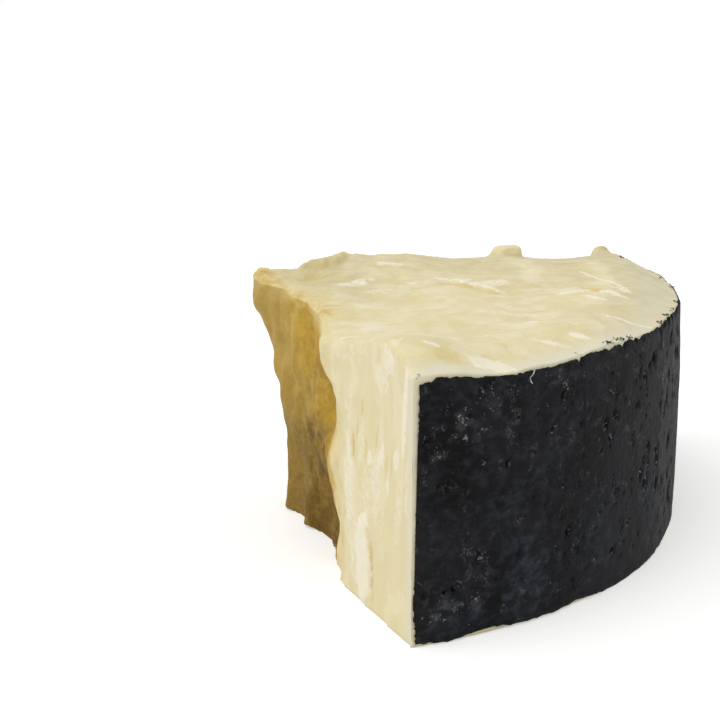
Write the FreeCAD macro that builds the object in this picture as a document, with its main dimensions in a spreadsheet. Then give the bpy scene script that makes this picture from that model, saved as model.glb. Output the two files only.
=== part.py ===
# A quarter of a thick slab cut from a hard, black-coated wheel of ewe's-milk cheese.
#
# The slab stands on its sawn underside. Its outer wall is the wheel's coated side, an arc about
# the wheel's axis. Two radial cuts run in from the wall; each is flat near the coating and then
# breaks away in conchoidal hollows, as a hard paste does when it is split, down to an undercut
# tip under the wheel's centre. The top is split too: low at the wall, crowned inside, with a
# chip left standing at the back edge and a swollen lump where the wall ends.
#
# Millimetres, +Z up. The wheel's axis is the working origin and the quarter opens about +X,
# so the left cut faces -Y and the right cut faces +Y. The finished piece is placed with the
# middle of its footprint on the origin.
import FreeCAD, Part
import math
import os
import random
from FreeCAD import Placement, Rotation, Vector
from Sketcher import Constraint

NODE = "cheese_quarter"
PARTS_FOLDER = "parts"

# Every driving size: alias, value, what it is.
SIZES = (
    ("wheel_radius", 150.0, "wheel's axis to its coated wall"),
    ("wall_height", 74.4, "height of the coated wall"),
    ("quarter_angle", 94.2, "angle between the two cuts, degrees"),
    ("foot_bevel", 1.3, "bevel where the coated wall meets the sawn underside"),
    ("crown_height", 3.6, "rise of the split top above the coated wall"),
    ("crown_shoulder", 17.0, "distance from the wall over which the top rises"),
    ("rim_wave", 0.35, "waviness of the split top along the wall"),
    ("rim_wave_angle", 36.0, "pitch of that waviness round the wheel, degrees"),
    ("ripple_height", 0.6, "undulation over the whole split top"),
    ("ripple_pitch", 38.0, "spacing of the undulation"),
    ("top_grid", 7.5, "spacing of the points that carry the split top"),
    ("flat_run", 53.0, "length of each cut that stays flat at the foot, in from the wall"),
    ("dish_radius", 155.0, "curvature of the large break in each cut, about a leaning axis"),
    ("dish_depth", 9.5, "depth of that break at the foot"),
    ("dish_lean", 3.3, "lean of its axis out of the cut as it rises, degrees"),
    ("scallop_radius", 24.0, "curvature of the small conchoidal scallops"),
    ("scallop_depth", 2.2, "how deep the scallops bite"),
    ("scoop_radius", 46.0, "curvature of the shallow scoops in the top near the tip"),
    ("scoop_depth", 1.6, "how deep those scoops bite"),
    ("bite_radius", 17.0, "curvature of the bite in the left cut's top edge"),
    ("bite_depth", 4.5, "how deep that bite goes"),
    ("tip_nose", 7.5, "how far the wheel's centre is broken off at the top"),
    ("tip_skew", 12.0, "turn of that break towards the left cut, degrees"),
    ("lip_drop", 5.0, "how far below the wall's top the tip's lip ends"),
    ("tip_undercut", 22.0, "how far the tip is broken away at the foot"),
    ("tip_curvature", 105.0, "radius of the concave break under the lip"),
    ("chip_length", 12.0, "the chip standing on the right cut's edge, along the edge"),
    ("chip_width", 7.0, "the chip, across the edge"),
    ("chip_height", 4.4, "the chip, above the top"),
    ("chip_bevel", 1.6, "the chip's broken corners"),
    ("chip_reach", 105.5, "wheel's axis to the chip"),
    ("lump_radius", 4.7, "the lump where the wall meets the right cut"),
    ("lump_height", 3.9, "the lump, above the top"),
    ("embed", 4.0, "how deep the chip and lump run into the paste"),
)

# Swells and dips of the split top: share of the radius, share of the half angle (-1 at the left
# cut, +1 at the right cut), height, and the share of the radius over which it fades.
SWELLS = (
    (0.27, 0.95, 3.3, 0.12),
    (0.12, -0.60, 0.6, 0.12),
    (0.84, 1.00, -4.9, 0.08),
    (0.68, 1.00, -1.4, 0.10),
    (0.89, -0.93, 4.8, 0.09),
    (0.62, -1.00, -2.5, 0.12),
    (0.97, -0.40, 1.8, 0.08),
    (0.99, -0.76, -2.2, 0.06),
    (0.55, 0.00, -0.5, 0.16),
    (0.24, 1.00, 3.4, 0.060),
    (0.21, 0.80, 3.0, 0.035),
    (0.38, 1.00, 1.5, 0.055),
    (0.07, 0.20, 1.7, 0.035),
    (0.91, 0.98, -2.6, 0.035),
    (1.00, 0.90, 1.5, 0.035),
    (1.00, 0.71, -1.8, 0.040),
)

# How many scallops notch the end of a cut's flat, how many lie in its break, and how many
# scoops dish the top. Each side's scallops are strewn from its own seed.
EDGE_SCALLOPS = 7
BREAK_SCALLOPS = 20
TOP_SCOOPS = 7
LEFT, RIGHT = -1, 1
SIDE_NAMES = {LEFT: "Left", RIGHT: "Right"}
SEEDS = {LEFT: 11, RIGHT: 5}
TOP_SEED = 3


def make_sheet(doc):
    """The spreadsheet of driving sizes, one alias a row."""
    sheet = doc.addObject("Spreadsheet::Sheet", "Sizes")
    for row, (alias, value, note) in enumerate(SIZES, start=1):
        sheet.set(f"A{row}", note)
        sheet.set(f"B{row}", str(value))
        sheet.setAlias(f"B{row}", alias)
    doc.recompute()
    return sheet


def sizes_of(sheet):
    """The sheet's values by alias, for what is worked out in code."""
    return {alias: float(sheet.get(alias)) for alias, _, _ in SIZES}


def plane_of(body, role):
    """One of a body's own origin planes."""
    return next(f for f in body.Origin.OriginFeatures if f.Role == role)


def smooth_step(share):
    """0 to 1 with a level start and end."""
    share = max(0.0, min(1.0, share))
    return share * share * (3.0 - 2.0 * share)


def make_slab(doc):
    """The plain quarter: its outline padded past the highest point of the top."""
    body = doc.addObject("PartDesign::Body", "Slab")
    outline = body.newObject("Sketcher::SketchObject", "QuarterOutline")
    outline.AttachmentSupport = [(plane_of(body, "XY_Plane"), "")]
    outline.MapMode = "FlatFace"
    reach, half = 100.0, math.radians(45.0)
    left_end = Vector(reach * math.cos(half), -reach * math.sin(half), 0)
    right_end = Vector(reach * math.cos(half), reach * math.sin(half), 0)
    outline.addGeometry(Part.LineSegment(Vector(), left_end), False)
    outline.addGeometry(Part.LineSegment(right_end, Vector()), False)
    rim_circle = Part.Circle(Vector(), Vector(0, 0, 1), reach)
    outline.addGeometry(Part.ArcOfCircle(rim_circle, -half, half), False)
    left_cut, right_cut, wall, start, end, centre = 0, 1, 2, 1, 2, 3
    root, x_axis = -1, -1
    add = outline.addConstraint
    add(Constraint("Coincident", left_cut, start, root, start))
    add(Constraint("Coincident", right_cut, end, root, start))
    add(Constraint("Coincident", wall, centre, root, start))
    add(Constraint("Coincident", left_cut, end, wall, start))
    add(Constraint("Coincident", wall, end, right_cut, start))
    radius = add(Constraint("Radius", wall, reach))
    outline.setExpression(f"Constraints[{radius}]", "Sizes.wheel_radius")
    left_turn = add(Constraint("Angle", left_cut, start, x_axis, start, half))
    right_turn = add(Constraint("Angle", x_axis, start, right_cut, end, half))
    for turn in (left_turn, right_turn):
        outline.setExpression(f"Constraints[{turn}]", "Sizes.quarter_angle * 0.5 * 1deg")

    slab = body.newObject("PartDesign::Pad", "SlabPad")
    slab.Profile = outline
    slab.setExpression(
        "Length",
        "Sizes.wall_height + 3 * Sizes.crown_height + Sizes.chip_height",
    )
    doc.recompute()

    foot = body.newObject("PartDesign::Chamfer", "FootBevel")
    foot.Base = (slab, [foot_arc_name(slab.Shape)])
    foot.setExpression("Size", "Sizes.foot_bevel")
    body.Tip = foot
    doc.recompute()
    return body


def foot_arc_name(shape):
    """The name of the wall's edge on the underside."""
    for number, edge in enumerate(shape.Edges, start=1):
        round_edge = isinstance(edge.Curve, Part.Circle)
        if round_edge and abs(edge.CenterOfMass.z) < 0.01:
            return f"Edge{number}"
    raise RuntimeError("the slab has no round edge at its foot")


def top_height(size, x, y):
    """Height of the split top over a point, measured from the underside."""
    radius = size["wheel_radius"]
    half = math.radians(size["quarter_angle"]) / 2
    out = math.hypot(x, y)
    turn = math.atan2(y, x)
    inward = max(0.0, radius - out)
    rim_turn = math.radians(size["rim_wave_angle"])
    height = size["wall_height"]
    height += size["crown_height"] * smooth_step(inward / size["crown_shoulder"])
    near_rim = 1.0 - smooth_step(inward / (2 * size["crown_shoulder"]))
    height += size["rim_wave"] * near_rim * math.cos(2 * math.pi * turn / rim_turn)
    pitch = size["ripple_pitch"]
    height += size["ripple_height"] * math.sin(
        2 * math.pi * x / pitch + math.cos(2 * math.pi * y / (1.7 * pitch))
    )
    for share_out, share_turn, rise, fade in SWELLS:
        at = Vector(share_out * radius, 0, 0)
        spot = Rotation(Vector(0, 0, 1), math.degrees(share_turn * half)).multVec(at)
        gap = math.hypot(x - spot.x, y - spot.y) / (fade * radius)
        height += rise * math.exp(-0.5 * gap * gap)
    return height


def make_top_cutter(doc, size):
    """Everything above the split top, as one solid with a smooth lower face."""
    radius = size["wheel_radius"]
    margin = 2 * size["top_grid"]
    half_span = radius * math.sin(math.radians(size["quarter_angle"]) / 2) + margin
    columns = math.ceil((radius + 2 * margin) / size["top_grid"])
    rows = math.ceil(2 * half_span / size["top_grid"])
    step_x = (radius + 2 * margin) / columns
    step_y = 2 * half_span / rows
    grid = [
        [
            Vector(x, y, top_height(size, x, y))
            for y in (-half_span + step_y * row for row in range(rows + 1))
        ]
        for x in (-margin + step_x * column for column in range(columns + 1))
    ]
    surface = Part.BSplineSurface()
    surface.interpolate(grid)
    face = surface.toShape()
    clear = 4 * (size["crown_height"] + size["chip_height"])
    cutter = doc.addObject("Part::Feature", "AboveTheTop")
    cutter.Shape = face.extrude(Vector(0, 0, clear + size["wall_height"]))
    return cutter


def cut_frame(size, side):
    """Directions of a cut: along it from the axis to the wall, and out of the paste."""
    turn = side * size["quarter_angle"] / 2
    along = Rotation(Vector(0, 0, 1), turn).multVec(Vector(1, 0, 0))
    outward = Rotation(Vector(0, 0, 1), side * 90.0).multVec(along)
    return along, outward


def facing(pole, seam):
    """Turns a round primitive so that its axis lies along pole and its seam faces seam."""
    return Rotation(seam, pole.cross(seam), pole, "ZXY")


def dish_centre(size):
    """Distance from the wheel's axis to the deepest line of a cut's large break."""
    depth = size["dish_depth"]
    half_run = math.sqrt(2 * size["dish_radius"] * depth - depth * depth)
    return size["wheel_radius"] - size["flat_run"] - half_run


def dish_floor(size, out, height):
    """Depth of a cut's large break at a place on the cut, or 0 outside it."""
    radius = size["dish_radius"]
    depth = size["dish_depth"] - height * math.tan(math.radians(size["dish_lean"]))
    across = out - dish_centre(size)
    return max(0.0, math.sqrt(max(0.0, radius * radius - across * across)) - radius + depth)


def make_dish(doc, size, side):
    """The leaning roller that breaks one cut away beyond its flat."""
    along, outward = cut_frame(size, side)
    roller = doc.addObject("Part::Cylinder", f"{SIDE_NAMES[side]}Dish")
    roller.setExpression("Radius", "Sizes.dish_radius")
    roller.setExpression("Height", "Sizes.wheel_radius * 2")
    foot = along * dish_centre(size) + outward * (size["dish_radius"] - size["dish_depth"])
    lean = math.radians(size["dish_lean"])
    axis = outward * math.sin(lean) + Vector(0, 0, math.cos(lean))
    seam = outward * math.cos(lean) - Vector(0, 0, math.sin(lean))
    start = foot - axis * (size["wheel_radius"] / 2)
    roller.Placement = Placement(start, facing(axis, seam))
    return roller


def add_ball(doc, name, rule, share, middle, turn):
    """A sphere whose radius is a share of one of the sheet's sizes."""
    ball = doc.addObject("Part::Sphere", name)
    ball.setExpression("Radius", f"Sizes.{rule} * {share:.3f}")
    ball.Placement = Placement(middle, turn)
    return ball


def add_scallop(doc, size, side, name, place, share, bite, rule="scallop_radius"):
    """A ball that bites a cut at a place, given as distance from the axis and height; it goes
    deeper than the large break by the bite."""
    along, outward = cut_frame(size, side)
    out, height = place
    floor = dish_floor(size, out, height)
    middle = along * out + outward * (share * size[rule] - floor - bite)
    middle.z = height
    return add_ball(doc, name, rule, share, middle, facing(Vector(0, 0, 1), outward))


def make_scallops(doc, size, side):
    """The conchoidal scallops of one cut: some reach just to the end of its flat and notch it,
    the rest lie in the large break behind it."""
    chance = random.Random(SEEDS[side])
    flat_end = size["wheel_radius"] - size["flat_run"]
    count = EDGE_SCALLOPS + BREAK_SCALLOPS
    balls = []
    for number in range(count):
        share = chance.uniform(0.6, 1.4)
        bite = size["scallop_depth"] * share * chance.uniform(0.7, 1.2)
        radius = share * size["scallop_radius"]
        if number < EDGE_SCALLOPS:
            step = (number + chance.uniform(0.1, 0.9)) / EDGE_SCALLOPS
            reach = math.sqrt(2 * radius * bite - bite * bite)
            out = flat_end - reach + chance.uniform(-0.1, 0.15) * size["scallop_radius"]
        else:
            step = (number - EDGE_SCALLOPS + chance.random()) / BREAK_SCALLOPS
            out = flat_end * chance.uniform(0.22, 0.8)
        place = (out, step * size["wall_height"])
        balls.append(
            add_scallop(doc, size, side, f"{SIDE_NAMES[side]}Scallop{number}", place, share, bite)
        )
    return balls


def make_bite(doc, size):
    """The bite where the left cut's flat meets the top."""
    place = (size["wheel_radius"] - 1.27 * size["flat_run"], 1.05 * size["wall_height"])
    bite = size["bite_depth"]
    return add_scallop(doc, size, LEFT, "EdgeBite", place, 1.0, bite, "bite_radius")


def make_scoops(doc, size):
    """The shallow scoops where the top has flaked near the tip."""
    chance = random.Random(TOP_SEED)
    half = size["quarter_angle"] / 2
    scoops = []
    for number in range(TOP_SCOOPS):
        out = size["wheel_radius"] * chance.uniform(0.10, 0.52)
        turn = half * chance.uniform(-1.0, 0.3)
        share = chance.uniform(0.6, 1.3)
        spot = Rotation(Vector(0, 0, 1), turn).multVec(Vector(out, 0, 0))
        radius = share * size["scoop_radius"]
        spot.z = top_height(size, spot.x, spot.y) + radius - share * size["scoop_depth"]
        turned = facing(Vector(1, 0, 0), Vector(0, 0, 1))
        scoops.append(add_ball(doc, f"Scoop{number}", "scoop_radius", share, spot, turned))
    return scoops


def make_nose_cutter(doc, size):
    """The block that breaks the wheel's centre off, a little askew."""
    nose = doc.addObject("Part::Box", "NoseBreak")
    nose.setExpression("Length", "Sizes.wheel_radius")
    nose.setExpression("Width", "Sizes.wheel_radius")
    nose.setExpression("Height", "Sizes.wall_height * 2")
    turn = Rotation(Vector(0, 0, 1), size["tip_skew"])
    reach = size["wheel_radius"]
    corner = turn.multVec(Vector(-reach, -reach / 2, 0)) + Vector(size["tip_nose"], 0, 0)
    corner.z = -size["embed"]
    nose.Placement = Placement(corner, turn)
    return nose


def make_undercut(doc, size):
    """A lying cylinder under the tip's lip: its side is the concave break down to the foot."""
    nose, foot = size["tip_nose"], size["tip_undercut"]
    lip = size["wall_height"] - size["lip_drop"]
    chord = math.hypot(foot - nose, lip)
    lean = math.atan2(foot - nose, lip)
    back = math.sqrt(size["tip_curvature"] ** 2 - chord * chord / 4)
    middle = Vector((nose + foot) / 2, 0, lip / 2)
    centre = middle - Vector(math.cos(lean), 0, math.sin(lean)) * back
    roller = doc.addObject("Part::Cylinder", "TipUndercut")
    roller.setExpression("Radius", "Sizes.tip_curvature")
    roller.setExpression("Height", "Sizes.wheel_radius")
    turn = Rotation(Vector(0, 0, 1), size["tip_skew"] / 2)
    start = turn.multVec(centre + Vector(0, size["wheel_radius"] / 2, 0))
    pole, seam = turn.multVec(Vector(0, -1, 0)), turn.multVec(Vector(-1, 0, 0))
    roller.Placement = Placement(start, facing(pole, seam))
    return roller


def make_chip(doc, size):
    """The chip left standing on the back edge: a broken block with bevelled corners."""
    along, outward = cut_frame(size, RIGHT)
    length, width = size["chip_length"], size["chip_width"]
    block = doc.addObject("Part::Box", "ChipBlock")
    block.setExpression("Length", "Sizes.chip_length")
    block.setExpression("Width", "Sizes.chip_width")
    block.setExpression("Height", "Sizes.chip_height + Sizes.embed")
    inset = 0.55 * width
    spot = along * size["chip_reach"] - outward * inset
    foot = top_height(size, spot.x, spot.y) - size["embed"]
    turn = Rotation(Vector(0, 0, 1), size["quarter_angle"] / 2)
    corner = spot - along * (length / 2) - turn.multVec(Vector(0, width / 2, 0))
    block.Placement = Placement(Vector(corner.x, corner.y, foot), turn)
    doc.recompute()
    chip = doc.addObject("Part::Chamfer", "Chip")
    chip.Base = block
    bevel = size["chip_bevel"]
    raised = [
        (number, bevel * (0.7 + 0.3 * (number % 3)), bevel * (1.3 - 0.2 * (number % 2)))
        for number, edge in enumerate(block.Shape.Edges, start=1)
        if edge.CenterOfMass.z > foot + size["embed"]
    ]
    chip.Edges = raised
    doc.recompute()
    return chip


def make_lump(doc, size):
    """The swollen lump on top, where the coated wall ends at the right cut."""
    along, outward = cut_frame(size, RIGHT)
    radius = size["lump_radius"]
    spot = along * (size["wheel_radius"] - 1.15 * radius) - outward * 1.7 * radius
    foot = top_height(size, spot.x, spot.y) - size["embed"]
    lump = doc.addObject("Part::Ellipsoid", "Lump")
    lump.setExpression("Radius1", "Sizes.lump_height + Sizes.embed")
    lump.setExpression("Radius2", "Sizes.lump_radius")
    lump.setExpression("Radius3", "Sizes.lump_radius * 0.8")
    lump.Angle1 = 0
    lump.Placement = Placement(
        Vector(spot.x, spot.y, foot),
        Rotation(Vector(0, 0, 1), size["quarter_angle"] / 2),
    )
    return lump


def combine(doc, kind, name, **links):
    """A Part boolean with its links set, recomputed."""
    result = doc.addObject(kind, name)
    for link, target in links.items():
        setattr(result, link, target)
    doc.recompute()
    return result


def cut_all(doc, base, tools):
    """The base with each tool cut away in turn."""
    for tool in tools:
        base = combine(doc, "Part::Cut", f"{tool.Name}Cut", Base=base, Tool=tool)
    return base


def centre_on_origin(piece):
    """Moves the piece so that the middle of its footprint is the origin."""
    box = piece.Shape.optimalBoundingBox(True, False)
    middle = Vector(box.Center.x, box.Center.y, 0)
    piece.Placement = Placement(-middle, Rotation())


def check(doc, piece):
    """Stops the build on any failed feature or bad solid."""
    for obj in doc.Objects:
        if {"Invalid", "Error"} & set(obj.State):
            raise RuntimeError(f"{obj.Label} failed: {obj.State}")
    shape = piece.Shape
    if shape.isNull() or not shape.isValid():
        raise RuntimeError(f"{piece.Label} has no valid shape")
    if len(shape.Solids) != 1:
        raise RuntimeError(f"{piece.Label} is {len(shape.Solids)} solids, not one")


def main():
    """Builds the piece and writes its STEP file."""
    doc = FreeCAD.newDocument("CheeseQuarter")
    sheet = make_sheet(doc)
    size = sizes_of(sheet)

    slab = make_slab(doc)
    tip = [make_nose_cutter(doc, size), make_undercut(doc, size)]
    left = [make_dish(doc, size, LEFT), make_bite(doc, size)] + make_scallops(doc, size, LEFT)
    right = [make_dish(doc, size, RIGHT)] + make_scallops(doc, size, RIGHT)
    top = [make_top_cutter(doc, size)] + make_scoops(doc, size)
    doc.recompute()
    # Each face is broken on a slab of its own, and the piece is what all of them leave.
    broken = [cut_all(doc, slab, tools) for tools in (tip + left, right, top)]
    split = combine(doc, "Part::MultiCommon", "SplitSlab", Shapes=broken)
    raised = [split, make_chip(doc, size), make_lump(doc, size)]
    piece = combine(doc, "Part::MultiFuse", "CheeseQuarterSolid", Shapes=raised)
    piece.Label = NODE
    centre_on_origin(piece)
    doc.recompute()
    check(doc, piece)

    os.makedirs(PARTS_FOLDER, exist_ok=True)
    piece.Shape.exportStep(os.path.join(PARTS_FOLDER, f"{NODE}.step"))
    box = piece.Shape.optimalBoundingBox(True, False)
    print(f"{NODE}: {box.XLength:.1f} x {box.YLength:.1f} x {box.ZLength:.1f} mm,"
          f" {piece.Shape.Volume / 1000:.0f} ml, {len(piece.Shape.Faces)} faces")


main()
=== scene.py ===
"""A quarter of a hard, black-coated ewe's-milk cheese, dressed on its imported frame."""

import logging
import math
from dataclasses import dataclass, field
from enum import Enum
from typing import Optional, Sequence

import bmesh
import bpy
import numpy as np
from mathutils import Matrix, Vector, noise
from mathutils.bvhtree import BVHTree


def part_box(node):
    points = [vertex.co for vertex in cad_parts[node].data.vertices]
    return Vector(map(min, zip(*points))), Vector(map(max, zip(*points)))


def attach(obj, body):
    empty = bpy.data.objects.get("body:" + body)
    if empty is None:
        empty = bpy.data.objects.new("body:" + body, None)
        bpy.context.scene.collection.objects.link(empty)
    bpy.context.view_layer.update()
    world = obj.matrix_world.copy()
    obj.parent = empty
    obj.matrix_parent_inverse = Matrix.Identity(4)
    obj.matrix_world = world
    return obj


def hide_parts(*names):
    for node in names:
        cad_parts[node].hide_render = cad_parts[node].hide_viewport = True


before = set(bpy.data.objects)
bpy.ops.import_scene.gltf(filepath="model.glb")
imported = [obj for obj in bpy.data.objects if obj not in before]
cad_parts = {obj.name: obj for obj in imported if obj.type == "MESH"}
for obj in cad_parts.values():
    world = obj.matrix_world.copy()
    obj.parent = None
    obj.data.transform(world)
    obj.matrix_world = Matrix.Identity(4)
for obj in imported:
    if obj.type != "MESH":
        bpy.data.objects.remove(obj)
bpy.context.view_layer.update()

NODE = "cheese_quarter"
BODY = "root"
MM = 0.001
LOG = logging.getLogger("cheese")

# a height over the whole cheese, in millimetres, and the way that rays look down from it
ABOVE = 200.0
DOWN = Vector((0, 0, -1))
# turn a cell's centre into three even random numbers
CELL_MIX = np.array([[12.99, 39.34, 73.16], [78.23, 11.13, 52.23], [37.72, 83.15, 9.15]])
CELL_SPREAD = 437.58

Colour = tuple[float, float, float, float]
Window = tuple[float, float]
Line = tuple[tuple[float, float], ...]
Smudges = tuple[tuple[float, float, float, float, float], ...]
Array = np.ndarray
Mesh, Object, Material = bpy.types.Mesh, bpy.types.Object, bpy.types.Material
Socket, Tree = bpy.types.NodeSocket, bpy.types.NodeTree


class Side(Enum):
    """The faces of the quarter that carry marks."""

    TOP = "top"
    LEFT = "left"
    RIGHT = "right"


def tint(red: float, green: float, blue: float) -> Colour:
    """Turns a colour as it is seen, 0 to 255, into the linear colour that a shader takes."""
    steps = [c / 255 for c in (red, green, blue)]
    linear = [c / 12.92 if c <= 0.04045 else ((c + 0.055) / 1.055) ** 2.4 for c in steps]
    return (*linear, 1.0)


def ease(low: float, high: float, value: Array) -> Array:
    """Smooth step from 0 at low to 1 at high; low may be the larger."""
    share = np.clip((value - low) / (high - low), 0, 1)
    return share * share * (3 - 2 * share)


def cloud(spots: Array, pitch: float, octaves: int = 3, seed: float = 0.0) -> Array:
    """Uneven field round 0.

    Args:
        spots: places in millimetres, one row each.
        pitch: size of the largest lumps, in millimetres.
        octaves: how many times finer lumps are laid on top.
        seed: moves the field, so that two of the same pitch differ.

    Returns:
        One number a row, mostly between -0.7 and 0.7.
    """
    moved = (spots / pitch + seed * 17.31).tolist()
    return np.fromiter((noise.fractal(p, 1.0, 2.0, octaves) for p in moved), float, len(moved))


def facets(spots: Array, pitch: float, tilt: float, seed: float, step: float = 0.22) -> Array:
    """Broken planes, one to a cell, each at its own height and lean.

    Args:
        spots: places in millimetres, one row each.
        pitch: size of a cell, in millimetres.
        tilt: how far a plane leans, as rise over run.
        seed: moves the cells.
        step: how far the planes differ in height, as a share of the pitch.

    Returns:
        Height of the planes in millimetres, one number a row.
    """
    moved = spots / pitch + seed * 9.7
    heart = np.array([tuple(noise.voronoi(p)[1][0]) for p in moved.tolist()])
    chance = (np.abs(np.sin(heart @ CELL_MIX)) * CELL_SPREAD) % 1.0
    lean = ((moved - heart) * (chance * 2 - 1)).sum(1) * tilt * pitch
    return (chance[:, 0] - 0.5) * step * pitch + lean


def object_of(name: str, mesh: Mesh) -> Object:
    """Puts a mesh in the scene as a named object at the origin."""
    made = bpy.data.objects.new(name, mesh)
    bpy.context.scene.collection.objects.link(made)
    return made


def baked(name: str, draft: Object) -> Object:
    """Applies the draft's modifiers and returns the result as a new object, in the draft's place."""
    graph = bpy.context.evaluated_depsgraph_get()
    mesh = bpy.data.meshes.new_from_object(draft.evaluated_get(graph))
    bpy.data.objects.remove(draft)
    mesh.name = name
    return object_of(name, mesh)


def opened(mesh: Mesh) -> bmesh.types.BMesh:
    """A mesh, open for editing."""
    bm = bmesh.new()
    bm.from_mesh(mesh)
    return bm


def put_back(bm: bmesh.types.BMesh, mesh: Mesh) -> None:
    """Ends the editing and puts the result in a mesh."""
    bm.to_mesh(mesh)
    bm.free()


def mesh_of(name: str, bm: bmesh.types.BMesh) -> Mesh:
    """Turns a finished bmesh into a named mesh."""
    mesh = bpy.data.meshes.new(name)
    put_back(bm, mesh)
    return mesh


def tree_of(mesh: Mesh) -> BVHTree:
    """A mesh's faces, ready for rays."""
    bm = opened(mesh)
    tree = BVHTree.FromBMesh(bm)
    bm.free()
    return tree


def smooth(bm: bmesh.types.BMesh, verts: list, rounds: int) -> None:
    """Draws vertices halfway to their neighbours, several times over."""
    for _ in range(rounds):
        bmesh.ops.smooth_vert(bm, verts=verts, factor=0.5, use_axis_x=True, use_axis_y=True, use_axis_z=True)


def around(verts: list) -> list:
    """Vertices with the edges and faces that hold them, as spin takes them."""
    edges = dict.fromkeys(e for v in verts for e in v.link_edges)
    faces = dict.fromkeys(f for v in verts for f in v.link_faces)
    return [*verts, *edges, *faces]


def read_rows(mesh: Mesh, what: str) -> Array:
    """The mesh's vertex places ("co"), in metres, or normals ("normal"), one row each."""
    flat = np.empty(len(mesh.vertices) * 3)
    mesh.vertices.foreach_get(what, flat)
    return flat.reshape(-1, 3)


def write_points(mesh: Mesh, spots: Array) -> None:
    """Moves the mesh's vertices to these places, in metres."""
    mesh.vertices.foreach_set("co", spots.ravel())
    mesh.update()


def write_mask(mesh: Mesh, name: str, values: Array) -> None:
    """Stores one number a vertex, for the finish to read."""
    layer = mesh.attributes.new(name, "FLOAT", "POINT")
    layer.data.foreach_set("value", np.clip(values, 0, 1).astype(np.float32))


@dataclass(frozen=True)
class Wheel:
    """Places on the quarter in millimetres, measured from the axis of the whole wheel."""

    axis_x: float
    radius: float = 150.0
    half_angle: float = 47.1

    @classmethod
    def of_frame(cls) -> "Wheel":
        """The wheel of the CAD quarter, whose wall's foremost point is one radius from the axis."""
        return cls(axis_x=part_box(NODE)[1][0] / MM - cls.radius)

    def local(self, spots: Array) -> Array:
        """Metres in the frame to millimetres about the axis."""
        return spots / MM - np.array([self.axis_x, 0, 0])

    def world(self, spots: Array) -> Array:
        """Millimetres about the axis to metres in the frame."""
        return (np.asarray(spots, float) + np.array([self.axis_x, 0, 0])) * MM

    def along(self, side: Side) -> Array:
        """Level direction of a cut face, from the axis out to the rind."""
        turn = math.radians(self.half_angle if side is Side.RIGHT else -self.half_angle)
        return np.array([math.cos(turn), math.sin(turn), 0])

    def inward(self, side: Side) -> Array:
        """Direction into the cheese, square to a cut face."""
        out = self.along(side)
        return np.array([out[1], -out[0], 0]) if side is Side.RIGHT else np.array([-out[1], out[0], 0])

    def turn_of(self, spots: Array) -> Array:
        """Angle round the axis, in degrees; 0 is the middle of the rind."""
        return np.degrees(np.arctan2(spots[:, 1], spots[:, 0]))


@dataclass(frozen=True)
class Mark:
    """A smear, flake, dip or slit on one face, as a soft-edged oval; the honey tone of a dip, slit or groove
    is painted shade, and a few pale marks along the left cut's top edge are a painted highlight.

    On the top, a and b are x and y from the axis. On a cut face, a is the distance in from the rind and b the
    height.
    """

    side: Side
    a: float
    b: float
    half_length: float
    half_width: float
    turn: float = 0.0
    lift: float = 0.0
    pale: float = 0.0
    # honey tone of a dip, slit or groove: painted shade
    groove_shade: float = 0.0
    edge: float = 2.0

    def cover(self, places: Array, ragged: Array) -> Array:
        """How much of the mark lies on each place, 0 to 1.

        Args:
            places: a and b, one row each, in millimetres.
            ragged: uneven field that frays the mark's outline.

        Returns:
            One number a row.
        """
        lean = math.radians(self.turn)
        gap = places - np.array([self.a, self.b])
        length = gap[:, 0] * math.cos(lean) + gap[:, 1] * math.sin(lean)
        width = gap[:, 1] * math.cos(lean) - gap[:, 0] * math.sin(lean)
        reach = np.abs(length / self.half_length) ** self.edge + np.abs(width / self.half_width) ** self.edge
        return ease(1.65, 0.3, reach + ragged * (0.9 if self.side is Side.TOP else 0.55))


TOP, LEFT, RIGHT = Side.TOP, Side.LEFT, Side.RIGHT
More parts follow.
